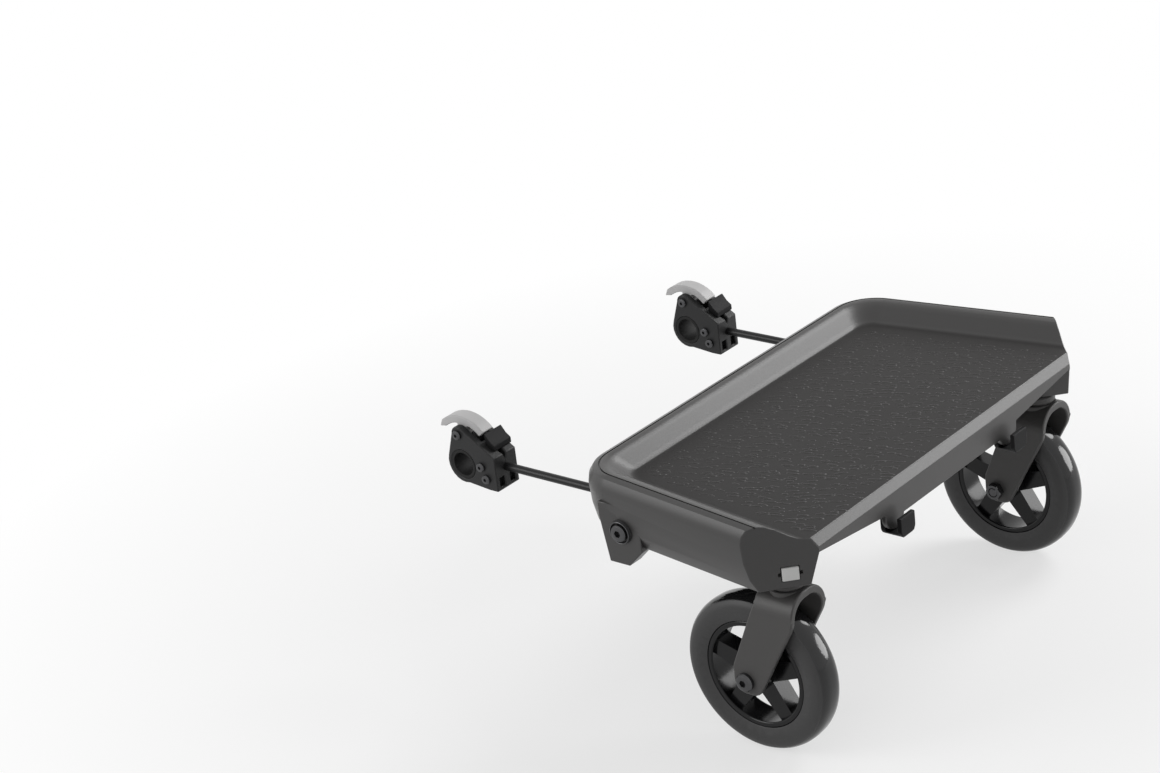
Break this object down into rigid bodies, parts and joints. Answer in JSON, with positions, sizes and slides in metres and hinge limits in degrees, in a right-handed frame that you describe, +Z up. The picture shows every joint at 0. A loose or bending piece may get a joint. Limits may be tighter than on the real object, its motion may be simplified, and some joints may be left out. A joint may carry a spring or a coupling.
{
  "type": "buggy board",
  "caption": "Ride-on platform with a flared rim and swivel casters, held behind a stroller by arms and lever clamps on its rear axle.",
  "frame": {"origin": "on the stroller's rear axle, midway between the two axle clamps", "axes": "+X to the right along the axle, +Y forwards to the stroller, +Z up"},
  "size_m": [0.412, 0.379, 0.194],
  "materials": {
    "deck_plastic": "matt moulded charcoal",
    "fork_plastic": "matt moulded charcoal",
    "black_plastic": "matt moulded black",
    "clamp_plastic": "satin moulded near black",
    "lever_plastic": "satin light grey",
    "grey_button": "satin light grey",
    "hub_plastic": "gloss black",
    "tyre_rubber": "smooth dark polyurethane",
    "liner_rubber": "matt black rubber",
    "rod_steel": "satin black coated steel",
    "black_steel": "black oxide steel"
  },
  "bodies": {
    "axle_mount": {"left_clamp_body": "clamp_plastic", "left_clamp_liner": "liner_rubber", "left_lever_pin": "black_steel", "left_cheek_screws": "black_steel", "left_arm_rod": "rod_steel", "left_hinge_barrel": "black_plastic", "right_clamp_body": "clamp_plastic", "right_clamp_liner": "liner_rubber", "right_lever_pin": "black_steel", "right_cheek_screws": "black_steel", "right_arm_rod": "rod_steel", "right_hinge_barrel": "black_plastic"},
    "deck": {"deck_tray": "deck_plastic", "left_strap_hook": "black_plastic", "left_hinge_bracket": "black_plastic", "left_bracket_screws": "black_steel", "left_pivot_bolt": "black_steel", "left_cup_washer": "black_steel", "left_pivot_nut": "black_steel", "left_swivel_bush": "black_plastic", "right_strap_hook": "black_plastic", "right_hinge_bracket": "black_plastic", "right_bracket_screws": "black_steel", "right_pivot_bolt": "black_steel", "right_cup_washer": "black_steel", "right_pivot_nut": "black_steel", "right_swivel_bush": "black_plastic"},
    "left_caster": {"left_swivel_stem": "fork_plastic", "left_fork": "fork_plastic", "left_caster_axle": "black_steel", "left_caster_nut": "black_steel", "left_axle_spacers": "black_plastic"},
    "left_wheel": {"left_tyre": "tyre_rubber", "left_wheel_hub": "hub_plastic", "left_wheel_bearings": "black_steel"},
    "left_button": {"left_corner_button": "grey_button"},
    "left_lever": {"left_clamp_lever": "lever_plastic"},
    "left_catch": {"left_lever_catch": "black_plastic"},
    "right_caster": {"right_swivel_stem": "fork_plastic", "right_fork": "fork_plastic", "right_caster_axle": "black_steel", "right_caster_nut": "black_steel", "right_axle_spacers": "black_plastic"},
    "right_wheel": {"right_tyre": "tyre_rubber", "right_wheel_hub": "hub_plastic", "right_wheel_bearings": "black_steel"},
    "right_button": {"right_corner_button": "grey_button"},
    "right_lever": {"right_clamp_lever": "lever_plastic"},
    "right_catch": {"right_lever_catch": "black_plastic"}
  },
  "joints": [
    {"name": "deck_pitch", "type": "hinge", "parent": "axle_mount", "child": "deck", "pos_m": [0, -0.183, 0], "axis": [-1, 0, 0], "range_deg": [-4, 14]},
    {"name": "left_swivel", "type": "hinge", "parent": "deck", "child": "left_caster", "pos_m": [-0.16801, -0.313, -0.012], "axis": [0, 0, 1], "continuous": true},
    {"name": "left_wheel_spin", "type": "hinge", "parent": "left_caster", "child": "left_wheel", "pos_m": [-0.16801, -0.284, -0.095], "axis": [1, 0, 0], "continuous": true},
    {"name": "left_button_press", "type": "slide", "parent": "deck", "child": "left_button", "axis": [0.7071, 0.7071, 0], "range_m": [0, 0.003], "stiffness_N_per_m": 600},
    {"name": "left_lever_lift", "type": "hinge", "parent": "axle_mount", "child": "left_lever", "pos_m": [-0.14199, 0.002, 0.0245], "axis": [-1, 0, 0], "range_deg": [0, 40]},
    {"name": "left_catch_slide", "type": "slide", "parent": "axle_mount", "child": "left_catch", "axis": [0, -1, 0], "range_m": [0, 0.003], "stiffness_N_per_m": 400},
    {"name": "right_swivel", "type": "hinge", "parent": "deck", "child": "right_caster", "pos_m": [0.16801, -0.313, -0.012], "axis": [0, 0, 1], "continuous": true},
    {"name": "right_wheel_spin", "type": "hinge", "parent": "right_caster", "child": "right_wheel", "pos_m": [0.16801, -0.284, -0.095], "axis": [1, 0, 0], "continuous": true},
    {"name": "right_button_press", "type": "slide", "parent": "deck", "child": "right_button", "axis": [-0.7071, 0.7071, 0], "range_m": [0, 0.003], "stiffness_N_per_m": 600},
    {"name": "right_lever_lift", "type": "hinge", "parent": "axle_mount", "child": "right_lever", "pos_m": [0.14199, 0.002, 0.0245], "axis": [-1, 0, 0], "range_deg": [0, 40]},
    {"name": "right_catch_slide", "type": "slide", "parent": "axle_mount", "child": "right_catch", "axis": [0, -1, 0], "range_m": [0, 0.003], "stiffness_N_per_m": 400}
  ]
}
